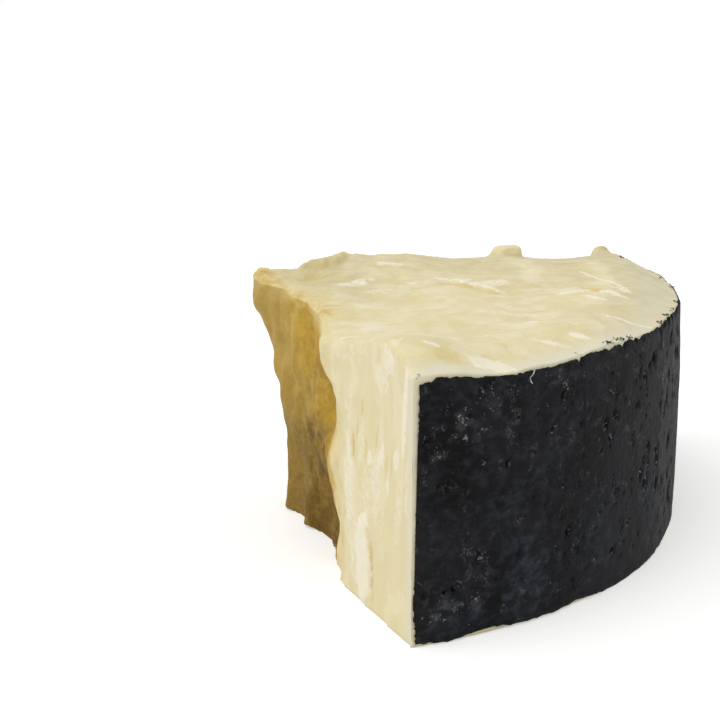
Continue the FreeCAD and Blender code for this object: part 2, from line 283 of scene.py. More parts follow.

# each row: a, b, half length, half width, turn, lift, pale, then the honey tone that is painted shade in
# dips, slits and the grooves beside flakes, then edge; what is left out is as in Mark
MARK_ROWS: dict[Side, tuple[tuple[float, ...], ...]] = {
    TOP: (
        (120.9, 30, 22, 0.85, -53, 0.45, 1), (129, 16, 8, 0.8, -40, 0.3, 0.8),
        (24.5, 18.5, 8, 4.5, 40, 2.3), (9.5, -2, 4.5, 5, 0, 1.6), (128.3, 8.9, 7, 1.7, -37, 0.45, 1),
        (121, 13.5, 6, 2.4, -40, -0.7, 0, 0.9), (125.6, -0.7, 4, 2, -20, 0.35, 0.95),
        (116.5, 4.5, 8, 1.2, 50, 0.3, 0.8), (139.8, -22.5, 9, 0.9, 22, 0.2, 0.9),
        (134.7, -26.2, 1.2, 0.9, 20, 0.3, 1), (131.9, -51.9, 2.6, 1.6, 15, 0.25, 0.9),
        (126, -62, 6, 1.4, 24, 0.15, 0.7), (115.3, -42.5, 2.4, 2, 20, 0.3, 1),
        (108, -30, 13, 2.6, 8, 0.25, 0.45), (100, -18.7, 4, 3, -20, 0.25, 0.5),
        (116.9, -86.2, 7, 3.4, 22, 0.15, 0.95), (101.6, -93, 2.6, 0.9, 20, 0.2, 1),
        (106, -94, 4, 3, 20, -0.15, 0, 0.45), (108.8, -66.2, 0.9, 0.8, 0, 0.3, 1),
        (81, 9, 15.5, 1.6, -27, 0.55, 0.8), (79, 5, 12, 2, -30, -0.45, 0, 0.75),
        (75.6, 15.4, 4, 5, 0, 0.3, 0.65), (88.3, 13.4, 4.5, 6, -20, 0.3, 0.6),
        (91, 1, 2.2, 3, -30, -0.35, 0, 0.7), (47.5, 21.4, 5, 3, 20, 0.3, 0.75),
        (61.4, 5.3, 2.4, 4, -10, 0.25, 0.6), (43.7, -1, 3, 8.5, -20, 0.35, 0.65),
        (56, -10, 3.4, 7, -30, 0.25, 0.4), (68, -60, 12, 2.4, 5, 0.15, 0.35),
        (66.8, -70, 4.6, 0.8, 0, 0.25, 1), (50, -42, 5, 2.2, 0, 0.3, 0.4),
        (42, -33, 6, 6, 0, -0.3, 0, 0.5), (26, 4, 2.5, 5, -20, -0.6, 0, 0.4),
        (15, -4, 3, 4.5, -20, 0.8, 0.2), (70, 74.5, 9, 6, 47, 0, 0.4),
    ),
    LEFT: (
        (6.2, 65, 1.5, 14, 4, 0.15, 0.9), (4.9, 44, 1.1, 9, 3, 0.1, 0.5),
        (11.7, 50.5, 2.4, 3.6, 12, 0.2, 0.75), (21.7, 48, 2, 4.6, 14, 0.2, 0.7),
        (30.3, 45.7, 1.9, 2.8, 24, 0.25, 0.75), (17.4, 41.4, 1.1, 3.6, 6, 0.2, 0.75),
        (26, 39, 4.2, 9, 8, 0.15, 0.5), (10, 35, 2.6, 9, 6, 0.15, 0.45), (36.5, 48, 2.6, 8, 5, 0.15, 0.45),
        (33, 33, 5, 10, 3, 0.2, 0.45), (25.5, 53, 0.7, 4, 14, -0.2, 0, 0.6),
        (14.8, 49, 0.5, 3.2, 8, -0.15, 0, 0.6), (19.3, 45.5, 0.5, 3.4, 10, -0.15, 0, 0.5),
        (33.4, 47, 0.5, 3.6, 6, -0.2, 0, 0.6), (43.4, 45, 1, 4.2, 2, -1.1, 0, 1),
        (40, 52, 0.6, 3, 4, -0.3, 0, 0.6), (35.9, 59.4, 0.6, 2.4, 2, -0.7, 0, 0.9),
        (34.6, 13.2, 4.6, 12.2, -6, 0.9, 1, 0, 3.5), (34, 25.5, 2.6, 4, 10, 0.4, 0.9),
        (41, 14, 6, 12, -4, 0.25, 0.55), (29.4, 12, 0.9, 8.5, -3, -1.3, 0, 0.85),
        (46.2, 34, 4, 17, -3, 0.2, 0.6), (46, 58, 3, 7, 8, 0.2, 0.45), (22, 24, 3, 8, 5, 0.15, 0.3),
        # the last three rows whiten the left cut's top edge: a painted highlight
        (17, 76.4, 4, 4.4, 14, 0.15, 0.7), (44, 73, 22, 2.8, -9, 0.1, 0.35),
        (22, 70.5, 6, 4.5, 10, 0.1, 0.5),
    ),
    RIGHT: (
        (7, 58, 1, 15, -4, 0.3, 0.9), (17, 30, 2.2, 7, -10, 0.3, 0.8), (30, 56, 1.8, 6, -14, 0.3, 0.9),
        (25, 16, 3.4, 9, 8, 0.7, 0.9, 0, 3.5), (20.6, 15, 0.8, 6.5, 6, -0.9, 0, 0.8),
        (44, 40, 2.6, 16, 4, 0.3, 0.7), (36, 34, 0.9, 4, -3, -0.9, 0, 0.9),
        (13, 66, 0.6, 3, 0, -0.6, 0, 0.8),
    ),
}


class Graph:
    """Adds and joins the nodes of one shader tree."""

    def __init__(self, tree: Tree) -> None:
        """Starts on an emptied tree."""
        self.tree = tree
        tree.nodes.clear()

    def add(self, kind: str, settings: Optional[dict] = None, **inputs) -> bpy.types.Node:
        """Adds a node.

        Args:
            kind: the node's type, without its ShaderNode prefix.
            settings: the node's own options, set before its sockets.
            inputs: values or sockets by socket name, with _ for a space, or i0, i1 ... by place.

        Returns:
            The new node.
        """
        made = self.tree.nodes.new("ShaderNode" + kind if not kind.startswith("Node") else kind)
        for name, value in (settings or {}).items():
            setattr(made, name, value)
        for name, value in inputs.items():
            place = int(name[1:]) if name[0] == "i" and name[1:].isdigit() else name.replace("_", " ")
            self.feed(made.inputs[place], value)
        return made

    def feed(self, socket: Socket, value: object) -> None:
        """Links a socket, or sets its value."""
        if isinstance(value, Socket):
            self.tree.links.new(value, socket)
        else:
            socket.default_value = value

    def maths(self, operation: str, *values: object, clamp: bool = False) -> Socket:
        """One step of arithmetic on numbers or sockets."""
        sockets = {f"i{n}": v for n, v in enumerate(values)}
        return self.add("Math", {"operation": operation, "use_clamp": clamp}, **sockets).outputs[0]

    def times(self, one: object, other: object) -> Socket:
        """Two numbers or sockets multiplied."""
        return self.maths("MULTIPLY", one, other)

    def scaled(self, value: object, by: object, plus: object) -> Socket:
        """A number or socket times another, plus a third."""
        return self.maths("MULTIPLY_ADD", value, by, plus)

    def blend(self, share: object, below: object, above: object) -> Socket:
        """Lays one colour over another by share."""
        return self.add("Mix", {"data_type": "RGBA"}, i0=share, i6=below, i7=above).outputs[2]

    def ramp(self, value: object, stops: Sequence[tuple[float, Colour]]) -> Socket:
        """Colours by value, through stops in rising order."""
        made = self.add("ValToRGB", i0=value)
        line = made.color_ramp.elements
        while len(line) < len(stops):
            line.new(0.5)
        for element, (place, colour) in zip(line, stops):
            element.position, element.color = place, colour
        return made.outputs[0]

    def window(self, value: object, low: object, high: object) -> Socket:
        """0 at low and 1 at high, smoothly."""
        smooth_step = {"interpolation_type": "SMOOTHSTEP"}
        return self.add("MapRange", smooth_step, i0=value, i1=low, i2=high).outputs[0]

    def mask(self, name: str) -> Socket:
        """A number stored on the mesh."""
        return self.add("Attribute", {"attribute_name": name}).outputs["Fac"]

    def group(self, tree: Tree, **inputs) -> bpy.types.Node:
        """Places a shared effect with its own values."""
        return self.add("Group", {"node_tree": tree}, **inputs)


class Effects:
    """Shared effects, built once and placed in every finish that uses them."""

    def __init__(self) -> None:
        """Builds the groups."""
        self.mottle = self._mottle()
        self.grain = self._grain()

    def patches(self, graph: Graph, spot: Socket, pitch: float, low: float, high: float, detail: float = 3.0,
                seed: float = 0.0, stretch: float = 1.0) -> Socket:
        """Places the mottle in a finish.

        Args:
            graph: the finish's own graph.
            spot: the coordinates that the patches follow.
            pitch: size of the largest patches, in millimetres.
            low: noise level at which a patch begins.
            high: noise level at which it is full.
            detail: how many finer layers lie on the patches.
            seed: moves the patches.
            stretch: how much taller than wide they are.

        Returns:
            The mask, 0 to 1.
        """
        return graph.group(self.mottle, Vector=spot, Pitch=pitch, Stretch=stretch, Detail=detail, Low=low,
                           High=high, Seed=seed).outputs[0]

    def grained(self, graph: Graph, spot: Socket, pitch: float, depth: float, tooth: float = 0.5) -> Socket:
        """Places the grain in a finish, its sizes in millimetres, and returns the normal."""
        return graph.group(self.grain, Vector=spot, Pitch=pitch, Depth=depth, Tooth=tooth).outputs[0]

    def _tree(self, name: str, numbers: dict[str, float], out: tuple[str, str]) -> tuple:
        """Starts a group.

        Args:
            name: the group's name.
            numbers: its number inputs beside the Vector, with their usual values.
            out: its output's name and socket type.

        Returns:
            The group's graph, the sockets that come in and those that go out.
        """
        tree = bpy.data.node_groups.new(name, "ShaderNodeTree")
        tree.interface.new_socket("Vector", in_out="INPUT", socket_type="NodeSocketVector")
        for socket, value in numbers.items():
            made = tree.interface.new_socket(socket, in_out="INPUT", socket_type="NodeSocketFloat")
            made.default_value = value
        tree.interface.new_socket(out[0], in_out="OUTPUT", socket_type=out[1])
        graph = Graph(tree)
        return graph, graph.add("NodeGroupInput").outputs, graph.add("NodeGroupOutput").inputs

    def _mottle(self) -> Tree:
        """Cloudy patches: a mask from noise of a pitch in millimetres, cut between two levels."""
        numbers = {"Pitch": 10.0, "Stretch": 1.0, "Detail": 3.0, "Low": 0.4, "High": 0.6, "Seed": 0.0}
        graph, taken, given = self._tree("mottle", numbers, ("Mask", "NodeSocketFloat"))
        size = graph.maths("DIVIDE", 1000.0, taken["Pitch"])
        tall = graph.maths("DIVIDE", size, taken["Stretch"])
        steps = graph.add("CombineXYZ", i0=size, i1=size, i2=tall).outputs[0]
        spot = graph.add("VectorMath", {"operation": "MULTIPLY"}, i0=taken["Vector"], i1=steps).outputs[0]
        lumps = graph.add("TexNoise", {"noise_dimensions": "4D"}, Vector=spot, W=taken["Seed"], Scale=1.0,
                          Detail=taken["Detail"], Roughness=0.6)
        graph.feed(given[0], graph.window(lumps.outputs[0], taken["Low"], taken["High"]))
        return graph.tree

    def _grain(self) -> Tree:
        """Fine unevenness as a normal, from lumps of a pitch in millimetres and a finer tooth."""
        numbers = {"Pitch": 1.0, "Depth": 0.05, "Tooth": 0.5}
        graph, taken, given = self._tree("grain", numbers, ("Normal", "NodeSocketVector"))
        size = graph.maths("DIVIDE", 1000.0, taken["Pitch"])
        broad = graph.add("TexNoise", Vector=taken["Vector"], Scale=size, Detail=3.0, Roughness=0.6)
        fine = graph.times(size, 3.7)
        tooth = graph.add("TexVoronoi", Vector=taken["Vector"], Scale=fine).outputs["Distance"]
        height = graph.scaled(tooth, taken["Tooth"], broad.outputs[0])
        rise = graph.times(taken["Depth"], MM)
        bump = graph.add("Bump", Strength=1.0, Distance=rise, Height=height)
        graph.feed(given[0], bump.outputs[0])
        return graph.tree


def material_of(name: str) -> tuple[Material, Graph, Socket]:
    """A new material with an empty graph; returns it, the graph and Object coordinates."""
    made = bpy.data.materials.new(name)
    made.use_nodes = True
    graph = Graph(made.node_tree)
    return made, graph, graph.add("TexCoord").outputs["Object"]


@dataclass(frozen=True)
class PasteFinish:
    """Cream to straw cheese with ivory at the rind, white smears, a painted highlight on the left cut's top
    edge, and golden breaks, dips and grooves deepened with painted shade.
    """

    cream: Colour = tint(235, 225, 189)
    straw: Colour = tint(220, 206, 158)
    ivory: Colour = tint(224, 219, 194)
    white: Colour = tint(240, 234, 212)
    # greyer tan on the top by the tip, the back edge and the right of the rim
    grey_tan: Colour = tint(194, 181, 136)
    honey: Colour = tint(214, 190, 118)
    # strip, gold and umber colour the break from its edge inward and down: its own straw tone deepened with
    # painted shade, darkest towards the foot
    strip: Colour = tint(223, 205, 150)
    gold: Colour = tint(188, 152, 58)
    umber: Colour = tint(102, 74, 22)
    # greyer tan on the break by the tip: painted shade
    tip_break_shade: Colour = tint(166, 138, 72)
    foot: Colour = tint(214, 205, 172)

    def _between(self, graph: Graph, leaf: Socket) -> Socket:
        """1 on the lower leaves of the top, which are more yellow, and 0 on the rest."""
        return graph.times(graph.window(leaf, 0.04, 0.2), graph.window(leaf, 0.46, 0.3))

    def build(self, effects: Effects) -> Material:
        """Makes the material."""
        made, graph, spot = material_of("paste")
        wide = effects.patches(graph, spot, 26.0, 0.36, 0.66)
        patch = effects.patches(graph, spot, 7.0, 0.38, 0.66, detail=4.0, seed=3.0)
        fine = effects.patches(graph, spot, 1.6, 0.3, 0.75, seed=5.0)
        pull = effects.patches(graph, spot, 2.6, 0.42, 0.7, seed=8.0, stretch=6.0)
        amount = graph.scaled(patch, 0.5, graph.times(wide, 0.5))
        amount = graph.maths("ADD", graph.times(amount, 0.75), 0.3, clamp=True)
        amount = graph.times(amount, graph.scaled(graph.mask("cut"), -0.7, 1.0))
        colour = graph.blend(amount, self.cream, self.straw)
        leaf = graph.mask("leaf")
        colour = graph.blend(graph.times(graph.window(leaf, 0.6, 0.85), 0.3), colour, self.white)
        colour = graph.blend(graph.times(self._between(graph, leaf), 0.5), colour, self.straw)
        smear = graph.times(pull, graph.times(graph.mask("cut"), 0.12))
        colour = graph.blend(smear, colour, self.white)
        band = graph.window(graph.scaled(patch, 0.4, graph.mask("band")), 0.2, 1.25)
        colour = graph.blend(band, colour, self.ivory)
        grey_tan = graph.times(graph.mask("grey_tan"), graph.scaled(patch, 0.5, 0.6))
        colour = graph.blend(grey_tan, colour, self.grey_tan)
        # honey tone in dips, slits and the grooves beside flakes: painted shade
        groove_shade = graph.times(graph.mask("groove_shade"), 0.85)
        colour = graph.blend(groove_shade, colour, self.honey)
        # the break turns golden to umber with depth and towards the foot: its own straw tone deepened with
        # painted shade
        deep = graph.scaled(graph.maths("SUBTRACT", patch, 0.5), 0.16, graph.mask("break_gold_and_shade"))
        deep = graph.scaled(graph.maths("SUBTRACT", fine, 0.5), 0.05, deep)
        golden = graph.ramp(deep, [(0.25, self.strip), (0.6, self.gold), (1.0, self.umber)])
        colour = graph.blend(graph.window(deep, 0.08, 0.34), colour, golden)
        # greyer tan on the break by the tip: painted shade
        colour = graph.blend(graph.mask("tip_break_shade"), colour, self.tip_break_shade)
        # white smears and flakes, and a painted highlight along the left cut's top edge
        pale = graph.window(graph.scaled(fine, 0.45, graph.mask("pale")), 0.35, 1.1)
        colour = graph.blend(pale, colour, self.white)
        colour = graph.blend(graph.mask("foot"), colour, self.foot)
        speck = graph.times(graph.maths("SUBTRACT", 1.0, fine), 0.10)
        colour = graph.blend(speck, colour, self.honey)
        dull = graph.scaled(graph.mask("break_gold_and_shade"), 0.18, graph.scaled(fine, 0.12, 0.44))
        normal = effects.grained(graph, spot, 0.9, 0.06)
        shader = graph.add("BsdfPrincipled", Base_Color=colour, Roughness=dull, Normal=normal, IOR=1.42,
                           Subsurface_Weight=0.25, Subsurface_Radius=(1.0, 0.75, 0.4), Subsurface_Scale=0.003)
        shader.inputs["Specular IOR Level"].default_value = 0.14
        graph.add("OutputMaterial", Surface=shader.outputs[0])
        return made


@dataclass(frozen=True)
class RindFinish:
    """Black wax-like coat with bluish smudges, a whitish bloom and pits darkened with painted shade."""

    coal: Colour = tint(17, 17, 18)
    slate: Colour = tint(45, 46, 50)
    umber: Colour = tint(38, 31, 29)
    blue: Colour = tint(49, 54, 62)
    bloom: Colour = tint(140, 141, 145)
    # near black in the pits: painted shade
    pit: Colour = tint(3, 3, 3)

    def _edge(self, graph: Graph, mask: Socket) -> Socket:
        """1 along the line where a mask crosses a half, falling to 0 on both sides."""
        return graph.times(graph.times(mask, graph.maths("SUBTRACT", 1.0, mask)), 4.0)

    def build(self, effects: Effects) -> Material:
        """Makes the material."""
        made, graph, spot = material_of("rind")
        wide = effects.patches(graph, spot, 18.0, 0.35, 0.68, detail=4.0, stretch=1.3)
        patch = effects.patches(graph, spot, 3.6, 0.42, 0.68, detail=5.0, seed=2.0, stretch=0.7)
        dust = effects.patches(graph, spot, 0.75, 0.0, 1.0, detail=4.0, seed=4.0)
        drift = effects.patches(graph, spot, 2.2, 0.42, 0.66, detail=4.0, seed=6.0)
        colour = graph.blend(graph.scaled(patch, 0.6, graph.times(wide, 0.4)), self.coal, self.slate)
        colour = graph.blend(graph.times(graph.mask("brown"), 0.8), colour, self.umber)
        cool = graph.times(graph.mask("blue"), graph.scaled(patch, 0.8, 0.15))
        colour = graph.blend(cool, colour, self.blue)
        # the pits go near black: painted shade
        colour = graph.blend(graph.mask("pit"), colour, self.pit)
        bloom = graph.mask("bloom")
        haze = graph.times(bloom, graph.scaled(patch, 0.08, 0.01))
        gather = graph.scaled(graph.times(bloom, drift), 0.34, dust)
        spark = graph.times(graph.window(gather, 0.72, 1.0), 0.8)
        scrawl = effects.patches(graph, spot, 1.9, 0.45, 0.55, detail=4.0, seed=11.0)
        places = effects.patches(graph, spot, 4.2, 0.53, 0.7, detail=4.0, seed=12.0)
        scrawl = graph.times(graph.times(self._edge(graph, scrawl), places), 0.26)
        rim = graph.window(self._edge(graph, graph.mask("pit")), 0.45, 1.0)
        rim = graph.times(graph.times(rim, drift), graph.window(dust, 0.45, 0.75))
        spark = graph.maths("MAXIMUM", spark, graph.maths("MAXIMUM", scrawl, rim))
        colour = graph.blend(graph.maths("ADD", haze, spark, clamp=True), colour, self.bloom)
        dull = graph.scaled(patch, 0.16, graph.scaled(graph.mask("pit"), 0.4, 0.5))
        normal = effects.grained(graph, spot, 1.7, 0.36, tooth=0.3)
        shader = graph.add("BsdfPrincipled", Base_Color=colour, Roughness=dull, Normal=normal, IOR=1.45)
        shader.inputs["Specular IOR Level"].default_value = 0.05
        graph.add("OutputMaterial", Surface=shader.outputs[0])
        return made


@dataclass(frozen=True)
class FibreFinish:
    """Dry threads and crumbs of the coat, between two tones."""

    name: str
    dark: Colour
    light: Colour

    def build(self, effects: Effects) -> Material:
        """Makes the material."""
        made, graph, spot = material_of(self.name)
        patch = effects.patches(graph, spot, 0.7, 0.35, 0.65)
        normal = effects.grained(graph, spot, 0.4, 0.04)
        shader = graph.add("BsdfPrincipled", Base_Color=graph.blend(patch, self.dark, self.light),
                           Roughness=graph.scaled(patch, 0.2, 0.6), Normal=normal)
        graph.add("OutputMaterial", Surface=shader.outputs[0])
        return made


@dataclass
class Part:
    """A piece of the cheese, in millimetres about the axis of the wheel that it was cut from."""

    wheel: Wheel
    piece: Optional[Object] = field(default=None, init=False)


@dataclass
class CheesePaste(Part):
    """The cheese itself: a quarter wheel whose two cut faces go over into a rough break."""

    # the even mesh, and the share of its triangles that is kept where they show least
    voxel: float = 0.85
    coarse: float = 0.75
    # how far out the paste goes behind the coat, and further at the foot, where no coat hides it
    seat: float = 148.85
    foot_rise: float = 0.5
    # distance in from the wall at which a cut's flat ends
    face: float = 58.0
    # how hard the ridges are rounded: within a reach of the axis, so many rounds
    worn: Line = ((147.0, 3), (91.0, 15))
    crumbled: int = 5
    # the line, by height, along which the upper end of the left cut breaks off
    shoulder: Line = ((50.0, 54.0), (56.0, 58.0), (60.0, 62.5), (64.0, 68.0), (69.0, 71.3), (80.0, 72.5))
    # how far a normal turns towards a face, or how deep a place lies in it, to count as on it
    upward: Window = (0.35, 0.8)
    downward: Window = (-0.3, -0.8)
    outward: Window = (0.25, 0.65)
    near_cut: Window = (30.0, 22.0)
    flush: Window = (1.0, 0.25)

    def build(self) -> Object:
        """Makes the roughened solid and stores the masks of its finish."""
        self.piece = self._body()
        mesh = self.piece.data
        spots, normals = self.wheel.local(read_rows(mesh, "co")), read_rows(mesh, "normal")
        masks = self._masks(spots, normals)
        lift = self._relief(spots, masks)
        spots += normals * lift[:, None]
        spots = self._seated(spots)
        write_points(mesh, self.wheel.world(spots))
        self._crumble(mesh, masks["broken"])
        for name in ("pale", "groove_shade", "band", "break_gold_and_shade", "cut", "foot", "grey_tan", "tip_break_shade", "leaf"):
            write_mask(mesh, name, masks[name])
        mesh.shade_smooth()
        return self.piece

    def dress(self, finish: Material) -> None:
        """Gives the paste its finish and its place in the frame."""
        self.piece.data.materials.clear()
        self.piece.data.materials.append(finish)
        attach(self.piece, BODY)
        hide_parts(NODE)

    def _soften(self, mesh: Mesh) -> None:
        """Rounds the ridges of the broken end, which crumble before a cut edge does."""
        bm, axis = opened(mesh), self.wheel.axis_x * MM
        free = [v for v in bm.verts if v.co.z > 3 * MM]
        for reach, rounds in self.worn:
            smooth(bm, [v for v in free if math.hypot(v.co.x - axis, v.co.y) < reach * MM], rounds)
        put_back(bm, mesh)

    def _crumble(self, mesh: Mesh, broken: Array) -> None:
        """Takes the sharp steps off the break, where its mask is over a half."""
        bm = opened(mesh)
        smooth(bm, [v for v in bm.verts if broken[v.index] > 0.5 and v.co.z > 1.5 * MM], self.crumbled)
        put_back(bm, mesh)

    def _body(self) -> Object:
        """A merged copy of the CAD solid, evenly fine, and coarse where the coat and the floor hide it."""
        bm = opened(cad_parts[NODE].data)
        bmesh.ops.remove_doubles(bm, verts=bm.verts, dist=1e-6)
        draft = object_of("paste_draft", mesh_of("paste_draft", bm))
        net = draft.modifiers.new("net", "REMESH")
        net.mode, net.voxel_size = "VOXEL", self.voxel * MM
        draft = baked("paste_draft", draft)
        group = draft.vertex_groups.new(name="coarse")
        group.add(np.flatnonzero(self._hidden(draft.data)).tolist(), 1.0, "REPLACE")
        thin = draft.modifiers.new("thin", "DECIMATE")
        thin.ratio, thin.vertex_group, thin.vertex_group_factor = self.coarse, group.name, 100
        made = baked("cheese_paste", draft)
        made.vertex_groups.clear()
        self._bring_flush(made.data)
        self._soften(made.data)
        return made

    def _hidden(self, mesh: Mesh) -> Array:
        """True for each vertex of the underside and of the wall behind the coat."""
        spots, normals = self.wheel.local(read_rows(mesh, "co")), read_rows(mesh, "normal")
        out, turn = np.hypot(spots[:, 0], spots[:, 1]), np.abs(self.wheel.turn_of(spots))
        below = (spots[:, 2] < 0.3) & (normals[:, 2] < -0.8)
        wall = (out > self.wheel.radius - 0.3) & (np.abs(normals[:, 2]) < 0.3) & (spots[:, 2] > 3.5)
        return below | (wall & (turn < self.wheel.half_angle - 0.7))

    def _bring_flush(self, mesh: Mesh) -> None:
        """Brings the upper end of the left cut flush with the flat, out to the line where it breaks off."""
        tree = tree_of(mesh)
        spots = self.wheel.local(read_rows(mesh, "co"))
        inward, along = self.wheel.inward(LEFT), self.wheel.along(LEFT)
        inset, depth, height = self.wheel.radius - spots @ along, spots @ inward, spots[:, 2]
        line = np.interp(height, *zip(*self.shoulder))
        share = ease(line + 2.0, line - 1.5, inset) * ease(50, 56, height) * ease(79, 71, height)
        share *= (inset > 50) & (depth < 20)
        before = 10.0
        for index in np.flatnonzero(share > 0.01):
            start = spots[index] - inward * (depth[index] + before)
            hit = tree.ray_cast(Vector(self.wheel.world(start)), Vector(inward))
            if hit[0] is None:
                continue
            recess = hit[3] / MM - before
            spots[index] -= inward * share[index] * recess * ease(14, 2, depth[index] - recess)
        write_points(mesh, self.wheel.world(spots))

    def _masks(self, spots: Array, normals: Array) -> dict[str, Array]:
        """Works out, for each vertex, which face it is on and what lies on it.

        Args:
            spots: places in millimetres, one row each.
            normals: the normals there.

        Returns:
            Masks by name, mostly 0 to 1, and the lift of the marks in millimetres.
        """
        masks = {name: np.zeros(len(spots)) for name in ("pale", "groove_shade", "lift", "break_gold_and_shade", "cut", "broken")}
        masks["up"] = ease(*self.upward, normals[:, 2])
        masks["down"] = ease(*self.downward, normals[:, 2])
        masks["out"] = np.hypot(spots[:, 0], spots[:, 1])
        ragged = cloud(spots, 3.0, 3, 1.0)
        for side in Side:
            weight, places = masks["up"], spots[:, :2]
            if side is not TOP:
                depth = spots @ self.wheel.inward(side)
                weight = ease(*self.outward, -(normals @ self.wheel.inward(side))) * (1 - masks["up"])
                weight *= ease(*self.near_cut, depth)
                inset = self.wheel.radius - spots @ self.wheel.along(side)
                places = np.column_stack([inset, spots[:, 2]])
                flat = ease(*self.flush, depth) * ease(self.face + 6, self.face, inset)
                masks["cut"] = np.maximum(masks["cut"], weight * flat)
                rough = weight * (1 - flat)
                masks["broken"] = np.maximum(masks["broken"], rough)
                # the break's golden tone, deepened with painted shade
                tone = self._depth_tone(side, depth, inset, spots[:, 2])
                masks["break_gold_and_shade"] = np.maximum(masks["break_gold_and_shade"], rough * tone)
            for mark in (Mark(side, *row) for row in MARK_ROWS[side]):
                cover = mark.cover(places, ragged) * weight
                # pale marks include a painted highlight on the left cut; the honey tone of dips and grooves
                # is painted shade
                masks["pale"] = np.maximum(masks["pale"], cover * mark.pale)
                masks["groove_shade"] = np.maximum(masks["groove_shade"], cover * mark.groove_shade)
                masks["lift"] += cover * mark.lift
        self._tones(spots, ragged, masks)
        return masks

    def _tones(self, spots: Array, ragged: Array, masks: dict[str, Array]) -> None:
        """Adds the masks of the tones that spread over a face.

        Args:
            spots: places in millimetres, one row each.
            ragged: uneven field that frays the golden edge of the top.
            masks: the masks so far, added to in place.
        """
        up, out, height = masks["up"], masks["out"], spots[:, 2]
        turn, radius = self.wheel.turn_of(spots), self.wheel.radius
        near, inset = spots @ self.wheel.inward(LEFT), radius - spots @ self.wheel.along(LEFT)
        # the top goes golden along the left break: painted shade where it rolls over into the break
        gold = ease(22, 3, near) * ease(66, 80, inset)
        masks["break_gold_and_shade"] = np.maximum(masks["break_gold_and_shade"], up * gold * (0.42 + 0.16 * ragged))
        # it is greyer by the tip, the back edge and the right of the rim, and on the lump but not the chip
        tip, back = ease(75, 25, out) * 0.8, 0.75 * ease(-20, 70, spots[:, 1])
        rim = up * 0.5 * ease(92, 124, out) * ease(-28, 6, turn)
        lump = ease(136, 139, out) * ease(75.5, 77, height) * ease(0, 40, turn)
        chip = ease(77, 78.5, height) * ease(95, 100, out) * ease(130, 125, out)
        masks["grey_tan"] = np.maximum(np.maximum(up * np.maximum(tip, back), rim), lump) * (1 - chip)
        # the break is duller by the tip: a greyer tan painted as shade
        masks["tip_break_shade"] = masks["broken"] * ease(96, 124, inset) * (0.35 + 0.35 * ease(10, 60, height))
        # an ivory band runs under the coat, wider towards the right
        width = 5.5 + 15 * ease(-25, 25, turn)
        on_top = ease(radius - 1.35 * width - 2, radius - 0.4 * width, out) * up
        on_cuts = ease(radius - 5.5, radius - 3.5, out) * (1 - up) * 0.9
        masks["band"] = np.maximum(on_top, on_cuts)
        masks["foot"] = ease(4.0, 1.0, height) * ease(radius - 1.6, radius - 1.0, out) * 0.9

    def _depth_tone(self, side: Side, depth: Array, inset: Array, height: Array) -> Array:
        """How golden the break is: more with depth in from the cut, and more towards the foot; the cheese's
        own straw tone, deepened with painted shade.

        Args:
            side: the cut that it lies in.
            depth: distance in from the cut, in millimetres.
            inset: distance in from the wall.
            height: height over the floor.

        Returns:
            One number a row, 0 to 1; the hidden cut's is weaker, with less painted shade.
        """
        start = inset - 10 * ease(50, 66, height)
        tone = 0.22 + 0.48 * ease(61, 77, start) - 0.1 * ease(92, 120, inset) * ease(30, 60, height)
        tone += 0.42 * ease(54, 16, height) * ease(63, 80, inset)
        tone *= ease(0.15, 1.6, depth) * (1 - 0.32 * ease(68, 79, height))
        return tone if side is LEFT else tone * 0.6

    def _relief(self, spots: Array, masks: dict[str, Array]) -> Array:
        """How far each vertex moves out along its normal.

        Args:
            spots: places in millimetres, one row each.
            masks: what lies on each place; the top's leaves are added to it.

        Returns:
            The move in millimetres, one number a row.
        """
        up, broken, cut = masks["up"], masks["broken"], masks["cut"]
        fine, mid = cloud(spots, 1.8, 2, 2.0), cloud(spots, 7.0, 3, 3.0)
        drawn = cloud(spots * np.array([1, 1, 0.16]), 3.0, 3, 4.0)
        leaves = facets(spots * np.array([1, 1, 0.3]) + mid[:, None] * 3, 9.0, 0.10, 5.0)
        masks["leaf"] = np.clip(leaves / 1.8 + 0.5 + 0.3 * mid, 0, 1) * np.maximum(up, 0.35 * cut)
        lift = masks["lift"] + up * (0.15 * mid + 0.12 * leaves + 0.12 * fine)
        lift += cut * (0.12 * mid + 0.05 * drawn + 0.03 * fine)
        rough = np.maximum(broken, up * ease(62, 38, masks["out"]) * 0.3)
        chosen = np.flatnonzero(rough > 0.02)
        lift[chosen] += rough[chosen] * self._crag(spots[chosen])
        edge = up * (1 - up) * 4
        lift -= edge * np.maximum(0, cloud(spots, 4.0, 3, 6.0) + 0.1) * 0.9
        return lift * (1 - masks["down"]) * ease(0.0, 1.2, spots[:, 2])

    def _crag(self, spots: Array) -> Array:
        """The crumbly break at these places: broad swells, clods and curd grains, in millimetres."""
        tall = np.array([1, 1, 0.6])
        swells = cloud(spots * tall, 14.0, 2, 15.0)
        clods = cloud(spots * tall, 6.0, 2, 16.0)
        grains = cloud(spots, 2.6, 2, 14.0)
        return 2.6 * swells + 0.8 * clods + 0.25 * grains + 0.2

    def _seated(self, spots: Array) -> Array:
        """Keeps the paste behind the coat, on the floor and in the CAD box."""
        out = np.hypot(spots[:, 0], spots[:, 1])
        seat = self.seat + self.foot_rise * ease(2.6, 1.3, spots[:, 2])
        spots[:, :2] *= np.minimum(1, seat / np.maximum(out, 1))[:, None]
        low, high = (self.wheel.local(np.array([corner]))[0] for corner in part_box(NODE))
        return np.clip(spots, low, high)


